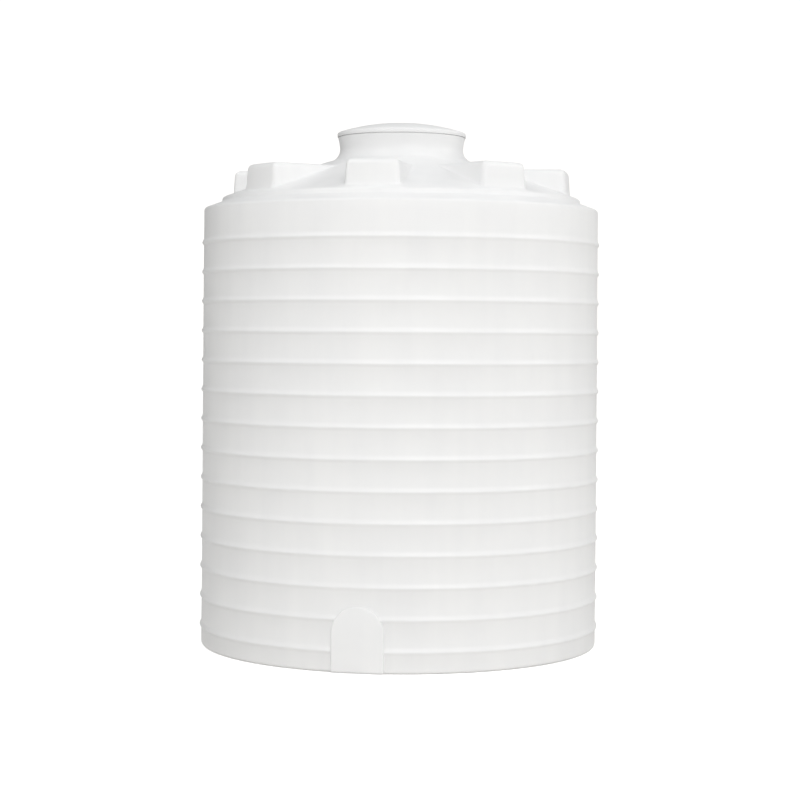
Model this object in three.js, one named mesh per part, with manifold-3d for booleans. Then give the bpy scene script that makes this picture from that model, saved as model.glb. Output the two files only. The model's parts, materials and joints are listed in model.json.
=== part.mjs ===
// Vertical fresh water tank: a rotomoulded polyethylene shell with hoop ribs, a lobed conical top and a
// manhole, with its plug-in lid, bottom outlet valve, float-operated inlet valve, overflow and vent.
// Millimetres, +Z up. The origin is the centre of the flat base, and the blank outlet pad faces -Y.
import * as THREE from "three";
import { mergeVertices } from "three/addons/utils/BufferGeometryUtils.js";
import Module from "manifold-3d";

const wasm = await Module();
wasm.setup();

// ---------------------------------------------------------------- driving dimensions

const GAP = 0.3; // between pieces that touch
const WALL = 8;

const BODY = { radius: 880, cornerZ: 1935, baseRounding: 16, segments: 40 };
const RIB = { count: 14, pitch: 130, lowestZ: 93, halfHeight: 22, proud: 7 };
const SHOULDER = { outerFillet: 14, riserRadius: 801, riserBaseZ: 1960, riserTopZ: 1979 };
const CONE = { baseRadius: 774, baseZ: 1989, topRadius: 345, topZ: 2140 };
const NECK = { radius: 285, waistRadius: 275, waistZ: 2192, topZ: 2259, rimInnerRadius: 262 };
Object.assign(NECK, { flareRadius: NECK.waistRadius + 25, flareZ: CONE.topZ + 18 });
const LOBE = { count: 8, turnDeg: 1.5, width: 224, innerRadius: 300, endRadius: 750, outerTopZ: 2110 };
LOBE.slope = Math.tan(THREE.MathUtils.degToRad(0.5)); // rise of a lobe's top towards the neck
const PAD = { width: 220, archCentreZ: 162, faceY: 887, depth: 40 };

const LID = { radius: 288, rimHeight: 15, topZ: 2322, thickness: 7, plugRadius: 257, plugDepth: 40 };
LID.segments = 32;
const LID_GASKET = { innerRadius: 264, outerRadius: 276, thickness: 3 };

const BOSS_FACE = BODY.radius + 4; // flat round seats for the inlet and the overflow
const FITTING_Z = 1856; // height of the inlet and the overflow
const OUTLET = { z: 130, bore: 25, shankRadius: 37.5, holeRadius: 38.5, flangeRadius: 62 };
const VALVE = { ballRadius: 34, bodyRadius: 46, chamberRadius: 37, centre: 79.6, leverLength: 112 };
const OVERFLOW = { turnDeg: -24, bore: 21, shankRadius: 29.8, holeRadius: 30.5, bossRadius: 50 };
const INLET = { turnDeg: 24, shankRadius: 16.5, holeRadius: 17.2, bossRadius: 38 };
const FLOAT = { restDeg: 50, strokeDeg: 35, leverLength: 20, armLength: 345, ballRadius: 75 };
const PIVOT = { y: -20, z: -80 }; // float arm's pivot below and behind the inlet's axis
const VENT = { along: 560, shankRadius: 16.5, holeRadius: 17.2, capRadius: 55 };

// ---------------------------------------------------------------- shape helpers

const vec = (x, y) => new THREE.Vector2(x, y);

// Area enclosed by a profile, positive when it runs counter-clockwise with radius to the right.
function signedArea(points) {
  return points.reduce((sum, p, i) => {
    const q = points[(i + 1) % points.length];
    return sum + (p.x * q.y - q.x * p.y) / 2;
  }, 0);
}

// Solid of revolution about Z from a profile of [radius, height] pairs. A profile that doesn't begin and
// end on the axis is closed on itself.
function turned(profile, segments = 20) {
  const points = profile.map(([r, z]) => vec(r, z));
  if (signedArea(points) < 0) points.reverse();
  const onAxis = points[0].x === 0 && points[points.length - 1].x === 0;
  if (!onAxis) points.push(points[0].clone());
  return new THREE.LatheGeometry(points, segments).rotateX(Math.PI / 2);
}

const ring = (inner, outer, low, high, segments) =>
  turned([[inner, low], [outer, low], [outer, high], [inner, high]], segments);

const rod = (radius, low, high, segments) =>
  turned([[0, low], [radius, low], [radius, high], [0, high]], segments);

// Points along an arc in [radius, height], from one angle to another in degrees.
function arc(centreR, centreZ, radius, fromDeg, toDeg, steps) {
  return Array.from({ length: steps + 1 }, (_, i) => {
    const angle = THREE.MathUtils.degToRad(fromDeg + ((toDeg - fromDeg) * i) / steps);
    return [centreR + radius * Math.cos(angle), centreZ + radius * Math.sin(angle)];
  });
}

function extruded(shape, low, high, curveSegments) {
  const options = { depth: high - low, bevelEnabled: false, curveSegments };
  return new THREE.ExtrudeGeometry(shape, options).translate(0, 0, low);
}

// Flat-sided nut along Z with a round bore.
function nut(cornerRadius, bore, low, high, sides = 6) {
  const shape = new THREE.Shape();
  for (let i = 0; i < sides; i++) {
    const angle = ((i + 0.5) * 2 * Math.PI) / sides;
    const corner = [cornerRadius * Math.cos(angle), cornerRadius * Math.sin(angle)];
    if (i === 0) shape.moveTo(...corner);
    else shape.lineTo(...corner);
  }
  shape.closePath();
  shape.holes.push(new THREE.Path().absarc(0, 0, bore, 0, 2 * Math.PI, true));
  return extruded(shape, low, high, 10);
}

const box = (width, height, depth, x, y, z) =>
  new THREE.BoxGeometry(width, height, depth).translate(x, y, z);

// ---------------------------------------------------------------- joining and cutting

function toSolid(geometry) {
  const bare = new THREE.BufferGeometry();
  bare.setAttribute("position", geometry.getAttribute("position").clone());
  if (geometry.index) bare.setIndex(geometry.index.clone());
  const merged = mergeVertices(bare, 1e-3);
  return new wasm.Manifold(
    new wasm.Mesh({
      numProp: 3,
      vertProperties: new Float32Array(merged.attributes.position.array),
      triVerts: new Uint32Array(merged.index.array),
    }),
  );
}

function toGeometry(solid) {
  const mesh = solid.getMesh();
  const geometry = new THREE.BufferGeometry();
  geometry.setAttribute("position", new THREE.BufferAttribute(mesh.vertProperties, 3));
  geometry.setIndex(new THREE.BufferAttribute(mesh.triVerts, 1));
  return geometry;
}

const joined = (...parts) => toGeometry(parts.map(toSolid).reduce((a, b) => a.add(b)));

const cut = (base, ...tools) =>
  toGeometry(tools.map(toSolid).reduce((a, b) => a.subtract(b), toSolid(base)));

// ---------------------------------------------------------------- materials and placing

const FINISH = {
  white_pe: { color: 0xeef1f3, roughness: 0.5, metalness: 0 },
  black_rubber: { color: 0x1f2021, roughness: 0.8, metalness: 0 },
  grey_pvc: { color: 0x5b6166, roughness: 0.45, metalness: 0 },
  white_ptfe: { color: 0xf4f4f0, roughness: 0.4, metalness: 0 },
  red_plastic: { color: 0xb5271f, roughness: 0.45, metalness: 0 },
  blue_plastic: { color: 0x2560a8, roughness: 0.4, metalness: 0 },
  brass: { color: 0xb58d4b, roughness: 0.35, metalness: 1 },
  steel: { color: 0xb9bcbf, roughness: 0.3, metalness: 1 },
};

const tank = new THREE.Group();
tank.name = "fresh_water_tank";

function add(group, name, finish, geometry) {
  const mesh = new THREE.Mesh(geometry, new THREE.MeshStandardMaterial(FINISH[finish]));
  mesh.name = name;
  group.add(mesh);
  return mesh;
}

// Frame of a fitting: local +Z points outwards along the given direction and local +Y is upwards.
function fittingMatrix(outward, up, origin) {
  const x = new THREE.Vector3().crossVectors(up, outward);
  return new THREE.Matrix4().makeBasis(x, up, outward).setPosition(origin);
}

function fittingGroup(matrix) {
  const group = new THREE.Group();
  matrix.decompose(group.position, group.quaternion, group.scale);
  tank.add(group);
  return group;
}

const UP = new THREE.Vector3(0, 0, 1);

// Frame of a fitting in the side wall, turned about the tank's axis from the rear (+Y).
function wallFrame(turnDeg, faceRadius, z) {
  const turn = THREE.MathUtils.degToRad(turnDeg);
  const outward = new THREE.Vector3(-Math.sin(turn), Math.cos(turn), 0);
  return fittingMatrix(outward, UP, outward.clone().multiplyScalar(faceRadius).setZ(z));
}

const lobeTurn = (index) => THREE.MathUtils.degToRad(LOBE.turnDeg + (360 / LOBE.count) * index);
const lobeTopZ = (along) => LOBE.outerTopZ + (LOBE.endRadius - along) * LOBE.slope;

// Frame of the vent: on the sloping top of the rear lobe, square to its surface.
function ventFrame() {
  const turn = lobeTurn(LOBE.count / 2);
  const along = new THREE.Vector3(Math.sin(turn), -Math.cos(turn), 0);
  const outward = along.clone().multiplyScalar(LOBE.slope).add(UP).normalize();
  const up = new THREE.Vector3().crossVectors(outward, new THREE.Vector3().crossVectors(along, outward));
  const origin = along.clone().multiplyScalar(VENT.along).setZ(lobeTopZ(VENT.along));
  return fittingMatrix(outward, up.normalize(), origin);
}

const frames = {
  outlet: wallFrame(0, PAD.faceY, OUTLET.z),
  inlet: wallFrame(INLET.turnDeg, BOSS_FACE, FITTING_Z),
  overflow: wallFrame(OVERFLOW.turnDeg, BOSS_FACE, FITTING_Z),
  vent: ventFrame(),
};

// ---------------------------------------------------------------- tank shell

// Outside of the shell, from the middle of the base up to the neck's rim. The ribs are rounded hoops.
function outerProfile() {
  const { radius, cornerZ, baseRounding } = BODY;
  const profile = [[0, 0], ...arc(radius - baseRounding, baseRounding, baseRounding, -90, 0, 2)];
  for (let i = 0; i < RIB.count; i++) {
    const z = RIB.lowestZ + i * RIB.pitch;
    profile.push([radius, z - RIB.halfHeight], [radius + RIB.proud, z], [radius, z + RIB.halfHeight]);
  }
  const fillet = SHOULDER.outerFillet;
  profile.push(
    ...arc(radius - fillet, cornerZ - fillet, fillet, 0, 65, 2),
    [SHOULDER.riserRadius, SHOULDER.riserBaseZ],
    [SHOULDER.riserRadius - 3, SHOULDER.riserTopZ],
    [CONE.baseRadius, CONE.baseZ],
    [CONE.topRadius, CONE.topZ],
    [NECK.flareRadius, NECK.flareZ],
    [NECK.waistRadius, NECK.waistZ],
    [NECK.radius, NECK.topZ],
    [0, NECK.topZ],
  );
  return profile;
}

// The space inside, one wall thickness in. The ribs are thicker wall, and the rim turns inwards.
function innerProfile() {
  const inside = BODY.radius - WALL;
  const rise = (CONE.topZ - CONE.baseZ) / (CONE.baseRadius - CONE.topRadius);
  const coneDrop = WALL * Math.hypot(1, rise);
  return [
    [0, WALL],
    [inside - 12, WALL],
    [inside, WALL + 12],
    [inside, BODY.cornerZ - SHOULDER.outerFillet],
    [inside - 12, BODY.cornerZ - 12],
    [SHOULDER.riserRadius - WALL, SHOULDER.riserBaseZ - 4],
    [CONE.baseRadius, CONE.baseZ - coneDrop],
    [CONE.topRadius - 3, CONE.topZ - coneDrop],
    [NECK.flareRadius - WALL, NECK.flareZ - WALL],
    [NECK.waistRadius - WALL, NECK.waistZ - 2],
    [NECK.waistRadius - WALL, NECK.topZ - 26],
    [NECK.rimInnerRadius, NECK.topZ - 18],
    [NECK.rimInnerRadius, NECK.topZ + 20],
    [0, NECK.topZ + 20],
  ];
}

// One of the raised lobes, set in by a wall thickness for the inside: a straight-sided block whose
// outer end follows the body's circle and whose top slopes up to the neck.
function lobe(index, inset) {
  const half = LOBE.width / 2 - inset;
  const reach = LOBE.endRadius - inset;
  const endAngle = Math.asin(half / reach);
  const shape = new THREE.Shape();
  shape.moveTo(LOBE.innerRadius, -half);
  shape.absarc(0, 0, reach, -endAngle, endAngle, false);
  shape.lineTo(LOBE.innerRadius, half);
  shape.closePath();
  const low = CONE.baseZ - 60;
  const geometry = extruded(shape, low, low + 1, 4);
  const position = geometry.getAttribute("position");
  for (let i = 0; i < position.count; i++) {
    if (position.getZ(i) > low + 0.5) position.setZ(i, lobeTopZ(position.getX(i)) - inset);
  }
  return geometry.rotateZ(lobeTurn(index) - Math.PI / 2);
}

// Arch-topped flat pad standing on the base: side is -1 for the front and 1 for the rear.
function pad(side, inset) {
  const half = PAD.width / 2 - inset;
  const shape = new THREE.Shape();
  shape.moveTo(-half, inset);
  shape.lineTo(half, inset);
  shape.lineTo(half, PAD.archCentreZ);
  shape.absarc(0, PAD.archCentreZ, half, 0, Math.PI, false);
  shape.closePath();
  const face = PAD.faceY - inset;
  const block = extruded(shape, face - PAD.depth, face, 8).rotateX(Math.PI / 2);
  return side < 0 ? block : block.rotateZ(Math.PI);
}

function shell() {
  const sum = (geometries) => geometries.map(toSolid).reduce((a, b) => a.add(b));
  const lobes = (inset) => Array.from({ length: LOBE.count }, (_, i) => lobe(i, inset));
  const cylinderAt = (frame, radius, low, high) => rod(radius, low, high).applyMatrix4(frame);
  const outside = sum([
    turned(outerProfile(), BODY.segments),
    ...lobes(0),
    pad(-1, 0),
    pad(1, 0),
    cylinderAt(frames.inlet, INLET.bossRadius, -30, 0),
    cylinderAt(frames.overflow, OVERFLOW.bossRadius, -30, 0),
  ]);
  const inside = sum([
    turned(innerProfile(), BODY.segments),
    ...lobes(WALL),
    pad(-1, WALL),
    pad(1, WALL),
    cylinderAt(frames.inlet, INLET.bossRadius - 5, -40, -WALL),
    cylinderAt(frames.overflow, OVERFLOW.bossRadius - 5, -40, -WALL),
  ]);
  const holes = sum([
    cylinderAt(frames.outlet, OUTLET.holeRadius, -30, 5),
    cylinderAt(frames.inlet, INLET.holeRadius, -30, 5),
    cylinderAt(frames.overflow, OVERFLOW.holeRadius, -30, 5),
    cylinderAt(frames.vent, VENT.holeRadius, -30, 5),
  ]);
  return toGeometry(outside.subtract(inside).subtract(holes));
}

add(tank, "tank_shell", "white_pe", shell());

// ---------------------------------------------------------------- manhole lid and its gasket

// Low dome with a thick rim and a plug ring that drops into the neck.
function lid() {
  const under = NECK.topZ + LID_GASKET.thickness + 2 * GAP;
  const rimTop = under + LID.rimHeight;
  const dome = (radius) => {
    const share = radius / LID.radius;
    return LID.topZ - (LID.topZ - rimTop) * share ** 2.1;
  };
  const plugInner = LID.plugRadius - LID.thickness;
  const stations = [0, 90, 160, 215, 255];
  const inner = stations.slice(0, -1).map((r) => [r, dome(r) - LID.thickness]);
  return turned(
    [
      ...stations.map((r) => [r, dome(r)]),
      [LID.radius - 6, rimTop],
      [LID.radius, rimTop - 6],
      [LID.radius, under],
      [LID.plugRadius, under],
      [LID.plugRadius, under - LID.plugDepth],
      [plugInner, under - LID.plugDepth],
      [plugInner, dome(plugInner) - LID.thickness],
      ...inner.reverse(),
    ],
    LID.segments,
  );
}

const gasketLow = NECK.topZ + GAP;
const gasket = LID_GASKET;
add(tank, "manhole_lid", "white_pe", lid());
add(
  tank,
  "lid_gasket",
  "black_rubber",
  ring(gasket.innerRadius, gasket.outerRadius, gasketLow, gasketLow + gasket.thickness, LID.segments),
);

// ---------------------------------------------------------------- outlet and ball valve, along local Z

function buildOutlet() {
  const group = fittingGroup(frames.outlet);
  const { bore, shankRadius, holeRadius, flangeRadius } = OUTLET;
  const inside = -WALL - GAP;

  add(group, "outlet_outer_gasket", "black_rubber", ring(holeRadius, flangeRadius - 2, GAP, 4.3));
  add(group, "outlet_inner_gasket", "black_rubber", ring(holeRadius, 54, inside - 4, inside));
  const bulkhead = [
    [bore, -48], [shankRadius, -48], [shankRadius, 4.6], [flangeRadius, 4.6], [flangeRadius, 14],
    [38, 17], [30, 17], [30, 41], [bore, 41],
  ];
  add(group, "outlet_bulkhead", "grey_pvc", turned(bulkhead));
  add(group, "outlet_lock_nut", "grey_pvc", nut(59, shankRadius + 0.5, inside - 24, inside - 4.3));

  const { ballRadius, bodyRadius, chamberRadius, centre } = VALVE;
  const bodyEnd = 128;
  const profile = [
    [30.4, 19], [40, 19], [40, 44], [bodyRadius, 50], [bodyRadius, bodyEnd],
    [chamberRadius, bodyEnd], [chamberRadius, 50], [bore, 50], [bore, 43], [30.4, 43],
  ];
  const upright = (geometry) => geometry.rotateX(-Math.PI / 2).translate(0, 0, centre);
  const bossed = joined(turned(profile), upright(rod(18, chamberRadius + 4, 60)));
  const cleared = cut(
    bossed,
    rod(chamberRadius, 50, bodyEnd + 1),
    upright(rod(8.4, 20, 70, 16)),
  );
  add(group, "outlet_valve_body", "grey_pvc", cleared);

  // Two sealing rings hold the ball, and a threaded carrier holds them in.
  const seatWidth = 27;
  const seatDepth = Math.sqrt(ballRadius ** 2 - seatWidth ** 2) + 1;
  const seat = [[bore, 0], [36.6, 0], [36.6, 7.4], [seatWidth, 7.4], [bore, 5.4]];
  const innerSeat = turned(seat).translate(0, 0, centre - seatDepth - 7.4);
  const outerSeat = turned(seat).rotateX(Math.PI).translate(0, 0, centre + seatDepth + 7.4);
  add(group, "outlet_valve_inner_seat", "white_ptfe", innerSeat);
  add(group, "outlet_valve_outer_seat", "white_ptfe", outerSeat);
  const carrierLow = centre + seatDepth + 7.4 + GAP;
  add(group, "outlet_valve_seat_carrier", "grey_pvc", ring(bore, 36.6, carrierLow, bodyEnd - GAP));

  // The ball is shut at rest: its bore lies across the flow. The stem's tang drives its slot.
  const ball = cut(
    new THREE.SphereGeometry(ballRadius, 20, 12).rotateX(Math.PI / 2),
    rod(bore - 1, -50, 50).rotateY(Math.PI / 2),
    box(7, 12, 18, 0, ballRadius, 0),
  ).translate(0, 0, centre);
  add(group, "outlet_valve_ball", "white_ptfe", ball);
  const stem = joined(
    upright(rod(8, ballRadius + 1, 66, 16)),
    box(6, 8, 14, 0, ballRadius - 1.4, centre),
    box(9, 14, 9, 0, 72, centre),
  );
  add(group, "outlet_valve_stem", "grey_pvc", stem);

  const lever = new THREE.Shape();
  const hub = 20;
  lever.absarc(0, 0, hub, 0.4, 2 * Math.PI - 0.4, false);
  lever.lineTo(VALVE.leverLength - 9, -11);
  lever.absarc(VALVE.leverLength - 9, 0, 11, -Math.PI / 2, Math.PI / 2, false);
  lever.closePath();
  const square = new THREE.Path();
  square.moveTo(-4.9, -4.9);
  square.lineTo(-4.9, 4.9);
  square.lineTo(4.9, 4.9);
  square.lineTo(4.9, -4.9);
  square.closePath();
  lever.holes.push(square);
  const handle = upright(extruded(lever, 66.4, 76, 8));
  add(group, "outlet_valve_handle", "red_plastic", handle);
  const screw = joined(rod(9, 79.4, 83, 12), rod(4, 79.4, 86, 12));
  add(group, "outlet_handle_screw", "steel", upright(screw));

  // Union: a loose nut pulls the end connector and its seal against the body.
  add(group, "outlet_union_seal", "black_rubber", ring(37, 43, bodyEnd + GAP, bodyEnd + 2.6));
  const flange = bodyEnd + 2.9;
  const connector = [
    [bore, flange], [44, flange], [44, flange + 6], [30, flange + 6], [30, 188], [bore, 188],
  ];
  add(group, "outlet_end_connector", "grey_pvc", turned(connector));
  const nutEnd = flange + 6 + GAP;
  const union = [
    [bodyRadius + 0.5, 106], [56, 106], [56, nutEnd + 4], [52, nutEnd + 8], [31, nutEnd + 8],
    [31, nutEnd], [bodyRadius + 0.5, nutEnd],
  ];
  add(group, "outlet_union_nut", "grey_pvc", turned(union));
}

// ---------------------------------------------------------------- inlet float valve, along local Z

function buildInlet() {
  const group = fittingGroup(frames.inlet);
  const { shankRadius, holeRadius } = INLET;
  const inside = -WALL - GAP;

  add(group, "inlet_outer_washer", "black_rubber", ring(holeRadius, 30, GAP, 3.3, 20));
  add(group, "inlet_inner_washer", "black_rubber", ring(holeRadius, 30, inside - 3, inside, 20));
  add(group, "inlet_lock_nut", "brass", nut(27, shankRadius + 0.5, 3.6, 15.6));

  const barrelEnd = -96;
  const profile = [
    [9, 48], [shankRadius, 48], [shankRadius, inside - 3.3], [27, inside - 3.3], [27, -22],
    [17, -24], [17, barrelEnd], [11, barrelEnd], [11, -45.5], [5, -45.5], [5, -38], [9, -36],
  ];
  const ear = (x) => box(5.4, 20, 16, x, PIVOT.y + 3, PIVOT.z);
  const across = (geometry) => geometry.rotateY(Math.PI / 2).translate(0, PIVOT.y, PIVOT.z);
  const body = cut(
    joined(turned(profile, 20), ear(7.3), ear(-7.3)),
    rod(11, barrelEnd - 1, -45.5, 20),
    box(7.4, 34, 36, 0, -11, barrelEnd + 17),
    box(9, 12, 8, 0, -16, -52),
    across(rod(2.9, -20, 20, 12)),
  );
  add(group, "float_valve_body", "brass", body);
  add(group, "float_pivot_pin", "steel", across(rod(2.5, -13, 13, 12)));

  // Lever and rod in one piece, at rest hanging open. The short lever moves the piston through its slot.
  const rest = THREE.MathUtils.degToRad(FLOAT.restDeg);
  const half = THREE.MathUtils.degToRad(FLOAT.strokeDeg / 2);
  const tipShift = -FLOAT.leverLength * Math.sin(half);
  const plate = new THREE.Shape();
  plate.moveTo(-3, 5);
  plate.lineTo(-2.4, FLOAT.leverLength - 2);
  plate.absarc(0, FLOAT.leverLength - 2, 2.4, Math.PI, 0, true);
  plate.lineTo(3, 5);
  plate.absarc(0, 0, 6.5, Math.PI / 3, Math.PI / 1.5 - 2 * Math.PI, true);
  plate.closePath();
  plate.holes.push(new THREE.Path().absarc(0, 0, 2.9, 0, 2 * Math.PI, false));
  const lever = extruded(plate, -3, 3, 6).rotateY(Math.PI / 2).rotateX(-half);
  const stem = rod(3.8, 5.6, FLOAT.armLength + 8, 10).rotateX(Math.PI - rest);
  const arm = joined(lever, stem).translate(0, PIVOT.y, PIVOT.z);
  add(group, "float_arm", "brass", cut(arm, across(rod(2.9, -20, 20, 12))));

  // The slot widens downwards, because the lever leans both ways in it.
  const slot = new THREE.Shape([vec(-6.6, -12), vec(6.6, -12), vec(3.4, 4), vec(-3.4, 4)]);
  const slotCutter = extruded(slot, -3.5, 3.5, 1).rotateY(Math.PI / 2);
  slotCutter.translate(0, 0, PIVOT.z + tipShift);
  const piston = cut(rod(10.5, barrelEnd + 2, -61.3, 16), slotCutter);
  add(group, "float_valve_piston", "brass", piston);
  add(group, "float_valve_seal", "black_rubber", rod(9, -61, -58, 16));

  const onArm = (geometry) => geometry.rotateX(Math.PI - rest).translate(0, PIVOT.y, PIVOT.z);
  const ballCentre = FLOAT.armLength + FLOAT.ballRadius + 2;
  const sphere = (radius) => new THREE.SphereGeometry(radius, 20, 12).rotateX(Math.PI / 2);
  const socket = rod(4.6, -FLOAT.ballRadius - 1, 0, 10);
  const ball = cut(sphere(FLOAT.ballRadius), sphere(FLOAT.ballRadius - 2.5), socket);
  add(group, "float_ball", "blue_plastic", onArm(ball.translate(0, 0, ballCentre)));
  add(group, "float_ball_nut", "brass", onArm(nut(9, 4.2, FLOAT.armLength - 12, FLOAT.armLength - 5)));
}

// ---------------------------------------------------------------- overflow, along local Z

function buildOverflow() {
  const group = fittingGroup(frames.overflow);
  const { bore, shankRadius, holeRadius } = OVERFLOW;
  const inside = -WALL - GAP;

  add(group, "overflow_outer_gasket", "black_rubber", ring(holeRadius, 43, GAP, 3.8));
  add(group, "overflow_inner_gasket", "black_rubber", ring(holeRadius, 40, inside - 3.5, inside));
  const bulkhead = [
    [bore, -38], [shankRadius, -38], [shankRadius, 4.1], [45, 4.1], [45, 12],
    [34, 14], [25, 14], [25, 38], [bore, 38],
  ];
  add(group, "overflow_bulkhead", "grey_pvc", turned(bulkhead));
  const lockNut = nut(43, shankRadius + 0.5, inside - 19, inside - 3.8);
  add(group, "overflow_lock_nut", "grey_pvc", lockNut);

  // Elbow turned down, with a screen in its mouth.
  const bend = 42;
  const path = new THREE.CurvePath();
  const turnStart = new THREE.Vector3(0, 0, 45);
  const turnEnd = new THREE.Vector3(0, -bend, 45 + bend);
  const mouth = new THREE.Vector3(0, -bend - 30, 45 + bend);
  const corner = 0.5523 * bend;
  path.add(new THREE.LineCurve3(new THREE.Vector3(0, 0, 15), turnStart));
  path.add(
    new THREE.CubicBezierCurve3(
      turnStart,
      new THREE.Vector3(0, 0, 45 + corner),
      new THREE.Vector3(0, -bend + corner, 45 + bend),
      turnEnd,
    ),
  );
  path.add(new THREE.LineCurve3(turnEnd, mouth));
  const section = new THREE.Shape().absarc(0, 0, 30.5, 0, 2 * Math.PI, false);
  section.holes.push(new THREE.Path().absarc(0, 0, 26, 0, 2 * Math.PI, true));
  const options = { extrudePath: path, steps: 9, curveSegments: 8 };
  add(group, "overflow_elbow", "grey_pvc", new THREE.ExtrudeGeometry(section, options));

  const screen = new THREE.Shape().absarc(0, 0, 24.8, 0, 2 * Math.PI, false);
  for (let i = 0; i < 7; i++) {
    const reach = i === 0 ? 0 : 14;
    const x = reach * Math.cos((i * Math.PI) / 3);
    const y = reach * Math.sin((i * Math.PI) / 3);
    screen.holes.push(new THREE.Path().absarc(x, y, 5, 0, 2 * Math.PI, true));
  }
  const disc = extruded(screen, -1, 1, 4).rotateX(Math.PI / 2);
  disc.translate(0, mouth.y + 8, mouth.z);
  add(group, "overflow_screen", "steel", disc);
}

// ---------------------------------------------------------------- vent, along local Z

function buildVent() {
  const group = fittingGroup(frames.vent);
  const { shankRadius, holeRadius, capRadius } = VENT;
  const inside = -WALL - GAP;

  add(group, "vent_gasket", "black_rubber", ring(holeRadius, 31, GAP, 3.3, 20));
  const stem = [
    [12, -32], [shankRadius, -32], [shankRadius, 3.6], [31, 3.6], [31, 9], [16, 12],
    [16, 24], [34, 28], [34, 31], [12, 31],
  ];
  add(group, "vent_stem", "grey_pvc", turned(stem, 20));
  add(group, "vent_lock_nut", "grey_pvc", nut(27, shankRadius + 0.5, inside - 12, inside));
  add(group, "vent_screen", "steel", ring(30, 31.5, 31.3, 54, 20));
  const cap = [
    [0, 54.3], [34, 54.3], [capRadius - 4, 50], [capRadius - 4, 34], [capRadius, 34],
    [capRadius, 54], [capRadius - 8, 62], [30, 68], [0, 70],
  ];
  add(group, "vent_cap", "grey_pvc", turned(cap, 20));
}

buildOutlet();
buildInlet();
buildOverflow();
buildVent();

export default tank;
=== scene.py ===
"""Upright fresh water tank in white rotomoulded polyethylene, shown in a plain pale studio.

The CAD frame gives every place and size. The shell, its pads and the lid are rebuilt here as fine
surfaces, the visible fittings get their mouldings, threads and knurls, and every piece gets a
procedural material. Lengths are in metres, +Z is up and the blank outlet pad faces -Y.
"""

import json

import bmesh
import bpy
import numpy as np
from mathutils import Matrix, Vector, noise


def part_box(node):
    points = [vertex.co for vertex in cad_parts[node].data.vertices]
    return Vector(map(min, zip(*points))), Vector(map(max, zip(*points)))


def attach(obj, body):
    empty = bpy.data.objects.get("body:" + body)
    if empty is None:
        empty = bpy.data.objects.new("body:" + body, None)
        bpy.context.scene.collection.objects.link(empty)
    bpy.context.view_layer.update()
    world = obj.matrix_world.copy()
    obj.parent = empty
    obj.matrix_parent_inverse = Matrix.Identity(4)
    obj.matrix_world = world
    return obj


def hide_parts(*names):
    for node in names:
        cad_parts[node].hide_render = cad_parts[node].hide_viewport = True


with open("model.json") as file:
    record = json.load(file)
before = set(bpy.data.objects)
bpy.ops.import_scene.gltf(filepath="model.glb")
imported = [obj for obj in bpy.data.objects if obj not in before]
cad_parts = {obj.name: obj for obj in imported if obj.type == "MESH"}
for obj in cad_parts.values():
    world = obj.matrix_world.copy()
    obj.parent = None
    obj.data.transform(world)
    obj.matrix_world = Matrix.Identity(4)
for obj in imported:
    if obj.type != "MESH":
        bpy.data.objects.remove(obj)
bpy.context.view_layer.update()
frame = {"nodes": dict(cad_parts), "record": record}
MM = 0.001

# ---------------------------------------------------------------- camera

CAMERA_AZIMUTH = 10.9  # degrees from the front, towards +X
CAMERA_DISTANCE = 8.95
CAMERA_HEIGHT = 1.401
CAMERA_ROLL = 0.42
LENS = 89.66
SHIFT = (-0.0004, -0.0887)


def add_camera():
    data = bpy.data.cameras.new("camera")
    data.sensor_width = 36
    data.lens = LENS
    data.shift_x, data.shift_y = SHIFT
    camera = bpy.data.objects.new("camera", data)
    bpy.context.scene.collection.objects.link(camera)
    azimuth = np.radians(CAMERA_AZIMUTH)
    camera.location = (CAMERA_DISTANCE * np.sin(azimuth), -CAMERA_DISTANCE * np.cos(azimuth), CAMERA_HEIGHT)
    level = Matrix.Rotation(azimuth, 4, "Z") @ Matrix.Rotation(np.pi / 2, 4, "X")
    camera.rotation_euler = (level @ Matrix.Rotation(np.radians(CAMERA_ROLL), 4, "Z")).to_euler()
    bpy.context.scene.camera = camera


add_camera()

# ---------------------------------------------------------------- dimensions of the tank, in metres

LID_LOW, LID_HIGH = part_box("manhole_lid")
NECK_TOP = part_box("tank_shell")[1].z
WALL = 8 * MM
RADIUS = 880 * MM
BASE_FILLET = 15 * MM
RIB_COUNT = 14
RIB_PITCH = 130 * MM
RIB_LOWEST = 93 * MM
RIB_HALF = 18 * MM
RIB_PROUD = 7.5 * MM
RIB_LEAN = 0.25  # sets the crest low, so that the underside is steeper than the top
RIB_STEPS = np.array([-1, -0.72, -0.45, -0.18, 0.05, 0.25, 0.45, 0.72, 1])
CORNER_Z = 1935 * MM
CORNER_FILLET = 14 * MM

LOBES = 8
LOBE_TURN = np.radians(1.5)
LOBE_HALF = 112 * MM
LOBE_END = 750 * MM
LOBE_END_TOP = 2110 * MM
LOBE_SLOPE = np.tan(np.radians(0.5))
LOBE_CROWN = 5 * MM
LOBE_TOP_FILLET = 24 * MM
LOBE_FOOT_FILLET = 10 * MM
LOBE_DRAFT = 5 * MM
LOBE_CORNER = 14 * MM

CONE_LOW = (774 * MM, 1989 * MM)
CONE_HIGH = (345 * MM, 2140 * MM)
CONE_SLOPE = (CONE_HIGH[1] - CONE_LOW[1]) / (CONE_LOW[0] - CONE_HIGH[0])
NECK_FLARE = (336 * MM, 2205 * MM)  # middle of the arc between the roof and the neck
NECK_FLARE_RADIUS = 60 * MM

LID_THICKNESS = 7 * MM
PLUG_DEPTH = 40 * MM

PAD_HALF = 110 * MM
PAD_ARCH_Z = 162 * MM
PAD_FACE = 887 * MM
PAD_BEND = 7 * MM

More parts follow.
